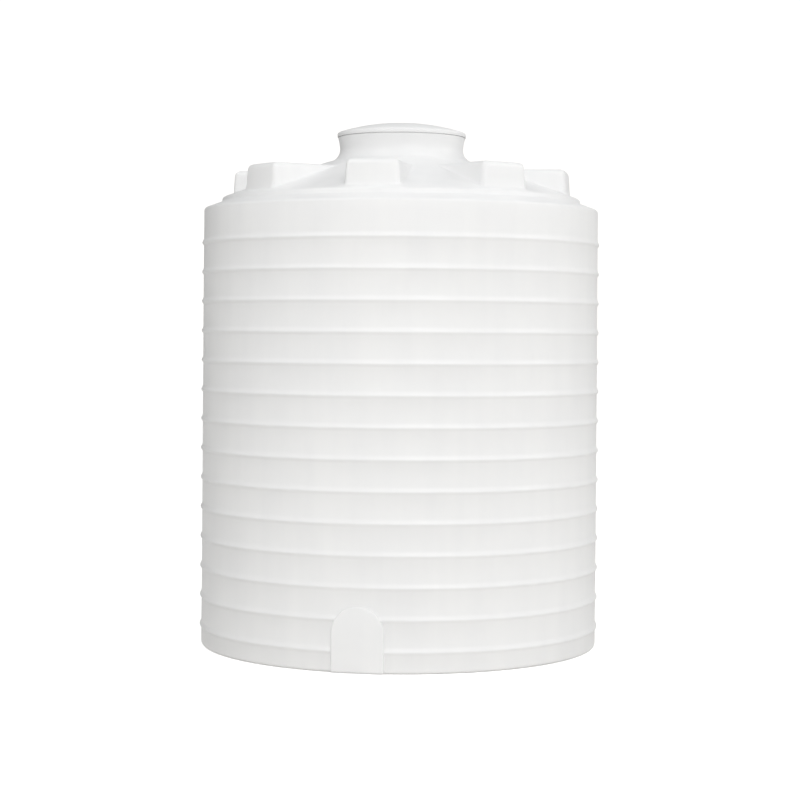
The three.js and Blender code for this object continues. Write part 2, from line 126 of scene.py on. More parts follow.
SEAT_FACE = 884 * MM  # distance of the moulded fitting seats from the tank's axis
FITTING_Z = 1856 * MM  # height of the inlet and the overflow
FITTING_TURN = 24  # degrees that each is turned from the rear
OUTLET_Z = 130 * MM
VALVE_MIDDLE = 79.6 * MM  # distance of the lever's axis from the pad's face
VENT_ALONG = 560 * MM

# ---------------------------------------------------------------- mesh helpers


def mesh_object(name, vertices, faces, smooth=True):
    """A mesh object from arrays, with its faces turned outwards."""
    mesh = bpy.data.meshes.new(name)
    mesh.from_pydata([tuple(v) for v in vertices], [], [tuple(f) for f in faces])
    bm = bmesh.new()
    bm.from_mesh(mesh)
    bmesh.ops.recalc_face_normals(bm, faces=bm.faces)
    bm.to_mesh(mesh)
    bm.free()
    mesh.polygons.foreach_set("use_smooth", np.full(len(mesh.polygons), smooth))
    piece = bpy.data.objects.new(name, mesh)
    bpy.context.scene.collection.objects.link(piece)
    return piece


def arc_points(centre, radius, start, end, steps):
    """Points [radius, height] along an arc, angles in degrees."""
    angles = np.radians(np.linspace(start, end, steps + 1))
    return [(centre[0] + radius * np.cos(a), centre[1] + radius * np.sin(a)) for a in angles]


def grid_faces(rows, columns):
    """Quads between the rows of a closed ring grid."""
    i, j = np.meshgrid(np.arange(rows - 1), np.arange(columns), indexing="ij")
    k = (j + 1) % columns
    quads = np.stack([i * columns + j, i * columns + k, (i + 1) * columns + k, (i + 1) * columns + j], -1)
    return quads.reshape(-1, 4)


def capped(grid):
    """Vertices and faces of a ring grid, closed at its first and last rows by a fan to the middle."""
    rows, columns, _ = grid.shape
    vertices = np.concatenate([grid.reshape(-1, 3), grid[:1].mean(1), grid[-1:].mean(1)])
    faces = [tuple(q) for q in grid_faces(rows, columns)]
    first, last = rows * columns, rows * columns + 1
    for j in range(columns):
        k = (j + 1) % columns
        faces.append((first, k, j))
        faces.append((last, (rows - 1) * columns + j, (rows - 1) * columns + k))
    return vertices, faces


def looped(grid):
    """Vertices and faces of a ring grid whose last row joins its first."""
    rows, columns, _ = grid.shape
    closed = np.concatenate([grid, grid[:1]])
    faces = grid_faces(rows + 1, columns) % (rows * columns)
    return closed[:rows].reshape(-1, 3), [tuple(q) for q in faces]


# ---------------------------------------------------------------- tank shell


def column_stations():
    """Lateral distances of the grid's columns from a lobe's middle, across its side wall, half a lobe."""
    top = LOBE_HALF - LOBE_TOP_FILLET
    flat = np.linspace(0, top, 5)[:-1]
    fillet = LOBE_HALF - LOBE_TOP_FILLET + LOBE_TOP_FILLET * np.sin(np.radians(np.linspace(0, 90, 7)))
    wall = LOBE_HALF + LOBE_DRAFT * np.array([0.5, 1.0])
    foot = LOBE_HALF + LOBE_DRAFT + LOBE_FOOT_FILLET * (1 - np.cos(np.radians(np.linspace(0, 90, 5))))
    return np.concatenate([flat, fillet, wall, foot[1:]])


STATIONS = column_stations()
RECESS_COLUMNS = 7


def column_angles(radius):
    """Azimuths of every column at a radius: they follow the lobes' straight sides."""
    half_sector = np.pi / LOBES
    lobe = np.arcsin(STATIONS / radius)
    recess = np.linspace(lobe[-1], half_sector, RECESS_COLUMNS + 1)[1:]
    half = np.concatenate([lobe, recess])
    sector = np.concatenate([-half[::-1][1:-1], half])
    turns = LOBE_TURN + 2 * half_sector * np.arange(LOBES)
    return (turns[:, None] + sector[None, :]).ravel()


def quarter_drop(distance, radius):
    """How far a quarter-round fillet has dropped at a distance in from the edge it rounds."""
    short = np.clip(radius - distance, 0, radius)
    return radius - np.sqrt(np.maximum(radius**2 - short**2, 0))


def lobe_distance(radius, azimuth, inset):
    """Plan distance inside a lobe's outline (negative outside), and the distance along the lobe."""
    sector = 2 * np.pi / LOBES
    local = (azimuth - LOBE_TURN + sector / 2) % sector - sector / 2
    along = radius * np.cos(local)
    side = LOBE_HALF - inset - np.abs(radius * np.sin(local))
    end = LOBE_END - inset - radius
    corner = LOBE_CORNER
    outside = np.hypot(np.minimum(side - corner, 0), np.minimum(end - corner, 0))
    inside = np.maximum(np.minimum(side, end) - corner, 0)
    return np.where(np.minimum(side, end) > corner, inside + corner, corner - outside), along


def roof_height(radius, azimuth, inset=0.0):
    """Height of the conical roof with its lobes, set down by a wall thickness for the inside."""
    cone = CONE_LOW[1] + (CONE_LOW[0] - radius) * CONE_SLOPE - inset * np.hypot(1, CONE_SLOPE)
    distance, along = lobe_distance(radius, azimuth, inset)
    across = np.clip(1 - distance / LOBE_HALF, 0, 1)
    top = LOBE_END_TOP + (LOBE_END - along) * LOBE_SLOPE - LOBE_CROWN * across**2 - inset
    rise = np.maximum(top - cone, 0)
    top_fillet = np.minimum(LOBE_TOP_FILLET, 0.45 * rise)
    foot_fillet = np.minimum(LOBE_FOOT_FILLET, 0.3 * rise)
    crown = rise - quarter_drop(np.clip(distance * top_fillet / LOBE_TOP_FILLET, 0, None), top_fillet)
    wall = rise - top_fillet - (rise - top_fillet - foot_fillet) * np.clip(-distance / LOBE_DRAFT, 0, 1)
    beyond = (-distance - LOBE_DRAFT) * foot_fillet / LOBE_FOOT_FILLET
    foot = foot_fillet - np.sqrt(np.maximum(foot_fillet**2 - np.clip(foot_fillet - beyond, 0, None) ** 2, 0))
    height = np.where(distance >= 0, crown, np.where(-distance <= LOBE_DRAFT, wall, foot))
    return cone + np.maximum(height, 0)


def wall_profile():
    """[radius, height] up the outside of the wall, from the middle of the base to the roof's edge."""
    profile = [(0.35, 0.0), (0.7, 0.0)]
    profile += arc_points((RADIUS - BASE_FILLET, BASE_FILLET), BASE_FILLET, -90, 0, 5)
    for i in range(RIB_COUNT):
        middle = RIB_LOWEST + i * RIB_PITCH
        for step in RIB_STEPS:
            bulge = 0.5 * (1 + np.cos(np.pi * (step + RIB_LEAN * (1 - step**2))))
            profile.append((RADIUS + RIB_PROUD * bulge, middle + RIB_HALF * step))
    profile.append((RADIUS, 1860 * MM))
    corner = (RADIUS - CORNER_FILLET, CORNER_Z - CORNER_FILLET)
    profile += arc_points(corner, CORNER_FILLET, 0, 68, 5)
    ledge = [(850, 1942), (830, 1949.5), (810, 1957), (804, 1960), (801, 1965)]
    riser = [(799.5, 1973), (797.5, 1978), (793, 1981.5), (784, 1985.3)]
    return profile + [(r * MM, z * MM) for r, z in ledge + riser]


ROOF_RADII = np.concatenate([
    [774, 769, 765, 761, 758, 755, 752.5, 750, 749.3, 747.5, 744.5, 740.5, 736, 731, 726, 719],
    np.linspace(708, 420, 17),
    [404, 388, 373, 360, 350, 345],
]) * MM


def neck_profile():
    """[radius, height] from the roof's top edge up the neck and over its rim to the inside."""
    profile = [(335 * MM, 2143 * MM)] + arc_points(NECK_FLARE, NECK_FLARE_RADIUS, 258, 182, 8)
    profile += [(276.6 * MM, 2215 * MM), (280 * MM, 2236 * MM), (284 * MM, 2252 * MM), (284.6 * MM, 2256 * MM)]
    profile += [(283 * MM, 2258.6 * MM), (280 * MM, NECK_TOP), (266 * MM, NECK_TOP), (263 * MM, 2258 * MM)]
    profile += [(262 * MM, 2254 * MM), (262 * MM, 2243 * MM), (266 * MM, 2236 * MM), (268 * MM, 2215 * MM)]
    return profile + arc_points(NECK_FLARE, NECK_FLARE_RADIUS + WALL, 184, 256, 6)


INNER_ROOF_RADII = np.concatenate([
    [345, 373], np.linspace(404, 706, 12), [722, 732, 738, 741, 744, 748, 756, 766],
]) * MM


def inner_wall_profile():
    """[radius, height] down the inside of the wall to the middle of the floor."""
    inside = RADIUS - WALL
    profile = [(785 * MM, 1976 * MM), (791 * MM, 1969 * MM), (793 * MM, 1956 * MM), (846 * MM, 1934 * MM)]
    profile += arc_points((inside - 12 * MM, 1913 * MM), 12 * MM, 60, 0, 3)
    profile += [(inside, z) for z in np.linspace(1.85, 0.03, 9)]
    profile += arc_points((inside - 10 * MM, WALL + 10 * MM), 10 * MM, 0, -90, 3)
    return profile + [(0.7, WALL), (0.35, WALL)]


def waviness(grid):
    """Slight unevenness of a rotomoulded wall: slow dents of about a millimetre, most near the shoulder."""
    moved = grid.copy()
    for i, row in enumerate(grid):
        for j, point in enumerate(row):
            slow = noise.noise(Vector((point[0] * 2.1, point[1] * 2.1, point[2] * 3.4 + 7)))
            fine = noise.noise(Vector((point[0] * 7, point[1] * 7, point[2] * 11 + 3)))
            reach = np.hypot(point[0], point[1])
            amount = (1.1 * slow + 0.35 * fine) * MM
            moved[i, j, :2] *= 1 + amount / max(reach, 0.2)
    return moved


def ring_row(radius, height):
    """One ring of the grid. Past the cone's edges its columns keep the angles that they have there."""
    angles = column_angles(min(max(radius, CONE_HIGH[0]), CONE_LOW[0]))
    x = radius * np.sin(angles)
    y = -radius * np.cos(angles)
    return np.stack([x, y, np.broadcast_to(height, x.shape)], -1)


def tank_shell():
    """The whole hollow shell as one closed grid: up the outside, over the neck's rim and down the inside."""
    outside = [ring_row(r, z) for r, z in wall_profile()]
    outside += [ring_row(r, roof_height(r, column_angles(r))) for r in ROOF_RADII]
    edge_lift = outside[-1][:, 2] - CONE_HIGH[1]
    neck = [ring_row(r, z) for r, z in neck_profile()]
    # the lobes' last rise fades out over the neck's first rings
    for row, share in zip(neck, (0.55, 0.2, 0.05)):
        row[:, 2] += share * edge_lift
    inside = [ring_row(r, roof_height(r, column_angles(r), WALL)) for r in INNER_ROOF_RADII]
    inside += [ring_row(r, z) for r, z in inner_wall_profile()]
    outer_rows = len(outside)
    grid = np.array(outside + neck + inside)
    grid[:outer_rows] = waviness(grid[:outer_rows])
    grid[:, :, 2] = np.maximum(grid[:, :, 2], 0)
    return mesh_object("shell_surface", *capped(grid))


# ---------------------------------------------------------------- lid


def lathe(name, profile, segments=192, shape=None):
    """A closed ring of revolution about Z, or a solid of one when the profile ends on the axis.

    A shape function may change each ring's radius with the angle, for threads, flats and grips.
    """
    on_axis = profile[0][0] == 0
    rings = profile[1:-1] if on_axis else profile
    angles = 2 * np.pi * np.arange(segments) / segments
    grid = np.empty((len(rings), segments, 3))
    for row, (r, z) in zip(grid, rings):
        radii = shape(r, z, angles) if shape else r
        row[:] = np.stack([radii * np.cos(angles), radii * np.sin(angles), np.full(segments, z)], -1)
    if on_axis:
        vertices, faces = capped(grid)
        vertices[-2] = (0, 0, profile[0][1])
        vertices[-1] = (0, 0, profile[-1][1])
        return mesh_object(name, vertices, faces)
    return mesh_object(name, *looped(grid))


def lid_surface():
    """Domed lid with a rolled rim and a plug that hangs inside the neck."""
    under = LID_LOW.z + PLUG_DEPTH
    rim = LID_HIGH.x
    top = LID_HIGH.z

    def dome(r):
        return top - (top - under - 15 * MM) * (r / rim) ** 2.1

    profile = [(0, top)]
    profile += [(r, dome(r)) for r in np.linspace(0.02, 0.28, 27)]
    profile += arc_points((rim - 6 * MM, under + 9.5 * MM), 6 * MM, 66, 0, 5)
    # a thin lip hangs over the neck's rim and hides most of the gasket
    profile += [(rim, under - 3 * MM), (rim - 0.8 * MM, under - 4.2 * MM), (rim - 2.2 * MM, under - 4 * MM)]
    profile += [(rim - 2.8 * MM, under - 1 * MM), (rim - 5 * MM, under)]
    profile += [(258 * MM, under), (257 * MM, under - 1 * MM), (256 * MM, under - 36 * MM)]
    profile += [(254 * MM, under - 40 * MM), (252 * MM, under - 40 * MM), (250 * MM, under - 38 * MM)]
    profile += [(250 * MM, under + 20 * MM), (244 * MM, dome(0.244) - LID_THICKNESS)]
    profile += [(r, dome(r) - LID_THICKNESS) for r in np.linspace(0.23, 0.02, 12)]
    profile += [(0, top - LID_THICKNESS)]
    return lathe("lid_surface", profile)


# ---------------------------------------------------------------- pads


def pad_surface(name, side):
    """Arch-topped flat pad moulded on the wall, with rounded edges that run into the wall."""
    # outline, from the foot of one side over the arch to the foot of the other, as place and direction
    outline = [((PAD_HALF, z), (1.0, 0.0)) for z in np.linspace(0.004, PAD_ARCH_Z, 24)]
    for a in np.radians(np.linspace(0, 180, 41))[1:-1]:
        outline.append(((PAD_HALF * np.cos(a), PAD_ARCH_Z + PAD_HALF * np.sin(a)), (np.cos(a), np.sin(a))))
    outline += [((-PAD_HALF, z), (-1.0, 0.0)) for z in np.linspace(PAD_ARCH_Z, 0.004, 24)]

    sections = []
    for (x, z), (nx, nz) in outline:
        row = []
        for a in np.radians(np.linspace(0, 90, 6)):
            out = -PAD_BEND + PAD_BEND * np.sin(a)
            row.append((x + nx * out, z + nz * out, PAD_FACE - PAD_BEND + PAD_BEND * np.cos(a)))
        foot_x, foot_z = x + nx * 2 * MM, z + nz * 2 * MM
        wall = np.sqrt(RADIUS**2 - foot_x**2)
        row.append((foot_x, foot_z, min(wall, PAD_FACE - PAD_BEND - 1 * MM)))
        row.append((foot_x, foot_z, wall - 25 * MM))
        sections.append(row)
    grid = np.array(sections)
    count, width, _ = grid.shape
    vertices = list(grid.reshape(-1, 3))
    faces = []
    for i in range(count - 1):
        for j in range(width - 1):
            faces.append((i * width + j, (i + 1) * width + j, (i + 1) * width + j + 1, i * width + j + 1))
    front = [i * width for i in range(count)]
    back = [i * width + width - 1 for i in range(count)]
    faces.append(tuple(reversed(front)))
    faces.append(tuple(back))
    faces.append(tuple([j for j in range(width)] + [(count - 1) * width + j for j in reversed(range(width))]))
    turned = [(x * -side, y * side, z) for x, z, y in vertices]
    return mesh_object(name, turned, faces)


# ---------------------------------------------------------------- materials


def material(name, colour, roughness=0.5, metallic=0.0):
    """A principled material with its node tree, output and shader, ready for its own detail."""
    made = bpy.data.materials.new(name)
    made.use_nodes = True
    shader = made.node_tree.nodes["Principled BSDF"]
    shader.inputs["Base Color"].default_value = (*colour, 1)
    shader.inputs["Roughness"].default_value = roughness
    shader.inputs["Metallic"].default_value = metallic
    return made, made.node_tree.nodes, made.node_tree.links, shader


def noise_node(nodes, links, scale, detail=3.0, roughness=0.5, stretch=(1, 1, 1)):
    """Noise in object coordinates, stretched along the given axes."""
    place = nodes.new("ShaderNodeTexCoord")
    mapping = nodes.new("ShaderNodeMapping")
    mapping.inputs["Scale"].default_value = stretch
    texture = nodes.new("ShaderNodeTexNoise")
    texture.inputs["Scale"].default_value = scale
    texture.inputs["Detail"].default_value = detail
    texture.inputs["Roughness"].default_value = roughness
    links.new(place.outputs["Object"], mapping.inputs["Vector"])
    links.new(mapping.outputs["Vector"], texture.inputs["Vector"])
    return texture


def ramp_node(nodes, links, source, low, high, from_range=(0.3, 0.7)):
    """Maps a 0-1 value to a range of values."""
    mapping = nodes.new("ShaderNodeMapRange")
    mapping.inputs["From Min"].default_value = from_range[0]
    mapping.inputs["From Max"].default_value = from_range[1]
    mapping.inputs["To Min"].default_value = low
    mapping.inputs["To Max"].default_value = high
    links.new(source, mapping.inputs["Value"])
    return mapping.outputs["Result"]


def tint(nodes, links, factor, first, second):
    """A colour that runs from one to another by a factor."""
    mix = nodes.new("ShaderNodeMix")
    mix.data_type = "RGBA"
    mix.inputs["A"].default_value = (*first, 1)
    mix.inputs["B"].default_value = (*second, 1)
    links.new(factor, mix.inputs["Factor"])
    return mix.outputs["Result"]


def bump(nodes, links, shader, height, distance, strength=1.0, after=None):
    """A bump for the shader's normal, on top of an earlier one where there is one."""
    node = nodes.new("ShaderNodeBump")
    node.inputs["Strength"].default_value = strength
    node.inputs["Distance"].default_value = distance
    links.new(height, node.inputs["Height"])
    if after is not None:
        links.new(after, node.inputs["Normal"])
    links.new(node.outputs["Normal"], shader.inputs["Normal"])
    return node.outputs["Normal"]


def polyethylene(name, base, shade, grain_scale):
    """Rotomoulded polyethylene: faint clouds of colour, a fine mould grain and slow unevenness."""
    made, nodes, links, shader = material(name, base, 0.42)
    clouds = noise_node(nodes, links, 3.2, 4)
    streaks = noise_node(nodes, links, 2.0, 3, stretch=(6, 6, 0.7))
    both = nodes.new("ShaderNodeMath")
    both.operation = "ADD"
    links.new(clouds.outputs["Fac"], both.inputs[0])
    links.new(streaks.outputs["Fac"], both.inputs[1])
    spread = ramp_node(nodes, links, both.outputs["Value"], 0, 1, (0.75, 1.25))
    links.new(tint(nodes, links, spread, base, shade), shader.inputs["Base Color"])
    links.new(ramp_node(nodes, links, clouds.outputs["Fac"], 0.36, 0.5), shader.inputs["Roughness"])
    grain = noise_node(nodes, links, grain_scale, 2)
    slow = noise_node(nodes, links, 9, 2)
    first = bump(nodes, links, shader, slow.outputs["Fac"], 1.6 * MM, 0.5)
    bump(nodes, links, shader, grain.outputs["Fac"], 0.12 * MM, 0.35, first)
    shader.inputs["Specular IOR Level"].default_value = 0.45
    return made


def moulded(name, base, shade, roughness, grain=420):
    """Injection-moulded plastic or rubber: slight colour variation, scuffs and a fine texture."""
    made, nodes, links, shader = material(name, base, roughness)
    clouds = noise_node(nodes, links, 22, 4)
    links.new(tint(nodes, links, ramp_node(nodes, links, clouds.outputs["Fac"], 0, 1), base, shade),
              shader.inputs["Base Color"])
    scuffs = noise_node(nodes, links, 60, 5, 0.7)
    links.new(ramp_node(nodes, links, scuffs.outputs["Fac"], roughness - 0.1, roughness + 0.12),
              shader.inputs["Roughness"])
    bump(nodes, links, shader, noise_node(nodes, links, grain, 2).outputs["Fac"], 0.1 * MM, 0.4)
    return made


def metal(name, base, shade, roughness, stretch):
    """Turned or brushed metal: fine directional lines, smudges and a duller tint in places."""
    made, nodes, links, shader = material(name, base, roughness, 1.0)
    smudges = noise_node(nodes, links, 25, 4)
    links.new(tint(nodes, links, ramp_node(nodes, links, smudges.outputs["Fac"], 0, 1), base, shade),
              shader.inputs["Base Color"])
    lines = noise_node(nodes, links, 120, 3, 0.6, stretch)
    links.new(ramp_node(nodes, links, lines.outputs["Fac"], roughness - 0.08, roughness + 0.15),
              shader.inputs["Roughness"])
    bump(nodes, links, shader, lines.outputs["Fac"], 0.05 * MM, 0.5)
    return made


MATERIALS = {
    "white_pe": polyethylene("white_polyethylene", (0.872, 0.872, 0.87), (0.845, 0.846, 0.848), 620),
    "black_rubber": moulded("black_rubber", (0.022, 0.023, 0.024), (0.035, 0.035, 0.036), 0.75),
    "grey_pvc": moulded("grey_pvc", (0.13, 0.145, 0.16), (0.16, 0.175, 0.19), 0.42),
    "white_ptfe": moulded("white_ptfe", (0.85, 0.85, 0.82), (0.8, 0.8, 0.77), 0.4),
    "red_plastic": moulded("red_plastic", (0.45, 0.028, 0.02), (0.38, 0.022, 0.018), 0.38),
    "blue_plastic": moulded("blue_plastic", (0.03, 0.12, 0.36), (0.025, 0.1, 0.3), 0.35),
    "brass": metal("satin_brass", (0.62, 0.43, 0.18), (0.5, 0.33, 0.14), 0.32, (1, 1, 6)),
    "steel": metal("stainless_steel", (0.6, 0.61, 0.62), (0.5, 0.51, 0.53), 0.3, (6, 1, 1)),
}


def dress(piece, slot):
    """Gives a piece its one material."""
    piece.data.materials.clear()
    piece.data.materials.append(MATERIALS[slot])


slot_of = {s["node"]: s["material_slot"] for s in frame["record"]["subparts"]}
for node, cad in frame["nodes"].items():
    for index in range(max(len(cad.material_slots), 1)):
        if cad.material_slots:
            cad.material_slots[index].material = MATERIALS[slot_of[node]]


def placed(piece, body, slot, *nodes):
    """A finished piece: its material, the body that it rides on and the CAD nodes that it stands for."""
    dress(piece, slot)
    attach(piece, body)
    if nodes:
        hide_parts(*nodes)
    return piece


placed(tank_shell(), "tank", "white_pe", "tank_shell")
placed(pad_surface("front_pad", -1), "tank", "white_pe")
placed(pad_surface("rear_pad", 1), "tank", "white_pe")
placed(lid_surface(), "lid", "white_pe", "manhole_lid")

# ---------------------------------------------------------------- fittings, in millimetres in their own frames


def rounded(profile, radius, steps=3):
    """A profile with its corners rounded. Its two ends are kept where they meet the axis."""
    points = [Vector(p) for p in profile]
    made = []
    for i, point in enumerate(points):
        before, after = points[i - 1] - point, points[(i + 1) % len(points)] - point
        if point.x == 0 or before.angle(after) > np.radians(165):
            made.append(tuple(point))
            continue
        short = min(radius, 0.45 * before.length, 0.45 * after.length)
        start, end = point + before.normalized() * short, point + after.normalized() * short
        for t in np.linspace(0, 1, steps + 1):
            made.append(tuple(start * (1 - t) ** 2 + point * (2 * t * (1 - t)) + end * t**2))
    return made


def thread(radius, low, high, pitch, depth):
    """Screw thread cut into a cylinder between two heights."""

    def shape(r, z, angles):
        if r < radius - 0.1 or not low < z < high:
            return np.full_like(angles, r)
        return r - depth * (0.5 - 0.5 * np.cos(2 * np.pi * z / pitch - angles))

    return shape


def threaded(radius, low, high, pitch):
    """Profile points close enough together to carry a thread."""
    return [(radius, z) for z in np.arange(low, high, pitch / 6)]


def flats(corner, above, sides=6):
    """Flat sides on everything wider than a radius."""
    half = np.pi / sides

    def shape(r, z, angles):
        if r < above:
            return np.full_like(angles, r)
        turn = (angles + half) % (2 * half) - half
        return np.minimum(r, corner * np.cos(half) / np.cos(turn))

    return shape


def grips(count, above, depth):
    """Raised finger grips round everything wider than a radius."""

    def shape(r, z, angles):
        if r < above:
            return np.full_like(angles, r)
        rise = np.clip((0.5 + 0.5 * np.cos(count * angles) - 0.35) / 0.3, 0, 1)
        return r - depth * (1 - rise)

    return shape


def weave(r, z, angles):
    """Crossed wires of the insect screen, as a shallow relief."""
    if r < 31:
        return np.full_like(angles, r)
    return r - 0.5 * (0.5 + 0.5 * np.cos(2 * np.pi * z / 1.5)) * (0.5 + 0.5 * np.cos(90 * angles))


def fitted(node, matrix, profile, edge=1.0, shape=None, body="tank", segments=120):
    """A turned fitting that stands for a CAD node, set in its frame."""
    piece = lathe(f"{node}_detail", rounded(profile, edge), segments, shape)
    return settled(piece, matrix, body, slot_of[node], node)


def settled(piece, matrix, body, slot, *nodes):
    """Moves a piece made in millimetres to its frame in the tank, and dresses and places it."""
    piece.data.transform(matrix @ Matrix.Scale(MM, 4))
    return placed(piece, body, slot, *nodes)


def frame_of(outward, up, origin):
    """Frame whose Z points outwards and whose Y is up."""
    across = up.cross(outward)
    return Matrix.Translation(origin) @ Matrix((across, up, outward)).transposed().to_4x4()


def wall_frame(turn, face, z):
    """Frame of a fitting in the side wall, turned about the tank's axis from the rear."""
    outward = Vector((-np.sin(np.radians(turn)), np.cos(np.radians(turn)), 0))
    return frame_of(outward, Vector((0, 0, 1)), outward * face + Vector((0, 0, z)))


def vent_frame():
    """Frame of the vent, square to the top of the rear lobe."""
    turn = LOBE_TURN + np.pi
    ahead = Vector((np.sin(turn), -np.cos(turn), 0))
    outward = (ahead * LOBE_SLOPE + Vector((0, 0, 1))).normalized()
    up = outward.cross(ahead.cross(outward)).normalized()
    height = LOBE_END_TOP + (LOBE_END - VENT_ALONG) * LOBE_SLOPE
    return frame_of(outward, up, ahead * VENT_ALONG + Vector((0, 0, height)))


def ring(inner, outer, low, high):
    """Profile of a plain washer."""
    return [(inner, low), (outer, low), (outer, high), (inner, high)]


def nut(node, matrix, corner, bore, low, high, body="tank"):
    """Hexagonal nut with turned chamfers."""
    chamfer = 0.07 * corner
    profile = [(bore, low), (corner - chamfer, low), (corner, low + 0.6 * chamfer)]
    profile += [(corner, high - 0.6 * chamfer), (corner - chamfer, high), (bore, high)]
    fitted(node, matrix, profile, 0.6, flats(corner, bore + 2), body)


def seat_boss(name, matrix, radius):
    """Flat round seat moulded on the wall for a fitting."""
    profile = [(0, 0), (radius - 3, 0), (radius, -3), (radius + 2, -7), (radius + 1, -9), (0, -9)]
    settled(lathe(name, rounded(profile, 2.5), 120), matrix, "tank", "white_pe")


def plate(name, outline, low, high, edge, middle=None):
    """Flat plate with rounded edges, from its outline taken anticlockwise and the middle of its faces."""
    points = np.array(outline)
    along = np.roll(points, -1, 0) - np.roll(points, 1, 0)
    outward = np.stack([along[:, 1], -along[:, 0]], -1) / np.linalg.norm(along, axis=1)[:, None]
    rows = []
    for angle in np.radians(np.linspace(-90, 90, 10)):
        height = (low + edge if angle < 0 else high - edge) + edge * np.sin(angle)
        moved = points - outward * edge * (1 - np.cos(angle))
        rows.append(np.column_stack([moved, np.full(len(moved), height)]))
    vertices, faces = capped(np.array(rows))
    if middle is not None:
        vertices[-2:, :2] = middle
    return mesh_object(name, vertices, faces)


def outlet_details():
    """Bulkhead, union ball valve, end connector and lever on the rear pad."""
    matrix = wall_frame(0, PAD_FACE, OUTLET_Z)
    fitted("outlet_outer_gasket", matrix, ring(38.5, 60, 0.3, 4.3), 1.6)
    fitted("outlet_inner_gasket", matrix, ring(38.5, 54, -12.3, -8.3), 1.6)
    profile = [(25, -48), *threaded(37.5, -47, 4, 4), (37.5, 4.6), (62, 4.6), (62, 13), (56, 15), (42, 16)]
    profile += [(39, 18.5), (30, 18.5), (30, 41), (25, 41)]
    fitted("outlet_bulkhead", matrix, profile, 1.2, thread(37.5, -47, 4, 4, 1.3))
    nut("outlet_lock_nut", matrix, 59, 38, -32.3, -12.6)

    # the body: eight flats at the pipe end, a barrel with two beads, and a thread under the union nut
    profile = [(30.4, 19), (40, 19), (40, 41), (43.4, 45.5), (46, 50), (46, 55), (45, 57), (45, 96), (46, 98)]
    profile += [*threaded(46, 100, 127, 3), (46, 128), (37, 128), (37, 50), (25, 50), (25, 43), (30.4, 43)]
    screw, sides = thread(46, 100, 127, 3, 1.1), flats(41.2, 35, 8)
    fitted(
        "outlet_valve_body",
        matrix,
        profile,
        1.4,
        lambda r, z, angles: sides(r, z, angles) if z < 42 else screw(r, z, angles),
    )
    upright = matrix @ Matrix.Translation((0, 0, VALVE_MIDDLE)) @ Matrix.Rotation(-np.pi / 2, 4, "X")
    boss = [(8.4, 41), (27, 38), (21, 46), (18, 50), (18, 58.5), (17, 60), (8.4, 60)]
    settled(lathe("outlet_stem_boss", rounded(boss, 1.5), 96), upright, "tank", "grey_pvc")
    fitted("outlet_union_seal", matrix, ring(37, 43, 128.3, 130.6), 0.8)
    profile = [(25, 130.9), (44, 130.9), (44, 136.9), (34, 137), (30, 141), (30, 158)]
    profile += [*threaded(30, 160, 186, 3), (29.4, 188), (25, 188)]
    fitted("outlet_end_connector", matrix, profile, 0.8, thread(30, 160, 186.5, 3, 1))
    profile = [(46.5, 106), (54, 106), (56, 108), (56, 139), (51.5, 145.2), (31, 145.2), (31, 137.2)]
    profile += [(46.5, 137.2)]
    fitted("outlet_union_nut", matrix, profile, 1.4, grips(14, 50, 2.2), segments=280)

    # the lever, with a raised rim round its hub and a thicker finger pad at its tip
    hub = np.linspace(0.4, 2 * np.pi - 0.4, 40)
    tip = np.linspace(-np.pi / 2, np.pi / 2, 16)
    outline = [(20 * np.cos(a), 20 * np.sin(a)) for a in hub]
    outline += [(x, -7.8 - 3.2 * (x - 18.4) / 84.6) for x in np.linspace(24, 98, 14)]
    outline += [(103 + 11 * np.cos(a), 11 * np.sin(a)) for a in tip]
    outline += [(x, 7.8 + 3.2 * (x - 18.4) / 84.6) for x in np.linspace(98, 24, 14)]
    lever = plate("outlet_valve_handle_detail", outline, 66.4, 76, 2.6, (0, 0))
    settled(lever, upright, "outlet_handle", "red_plastic", "outlet_valve_handle")
    collar = [(9.6, 75), (17, 75), (16, 78.6), (11, 78.6)]
    settled(lathe("handle_hub_rim", rounded(collar, 1), 96), upright, "outlet_handle", "red_plastic")
    grip = [(97, -3.4), (103, -6), (108, -4.6), (111, 0), (108, 4.6), (103, 6), (97, 3.4)]
    grip += [(70, 2.6), (70, -2.6)]
    settled(plate("handle_tip_pad", grip, 74, 77.6, 1.2), upright, "outlet_handle", "red_plastic")
    screw = [(0, 79.4), (9, 79.4), (9, 81.4), (7.5, 82.4), (5.6, 82.4), (5.6, 86), (4.4, 87), (0, 87)]
    fitted("outlet_handle_screw", upright, screw, 0.5, flats(6, 0.1), "outlet_handle")


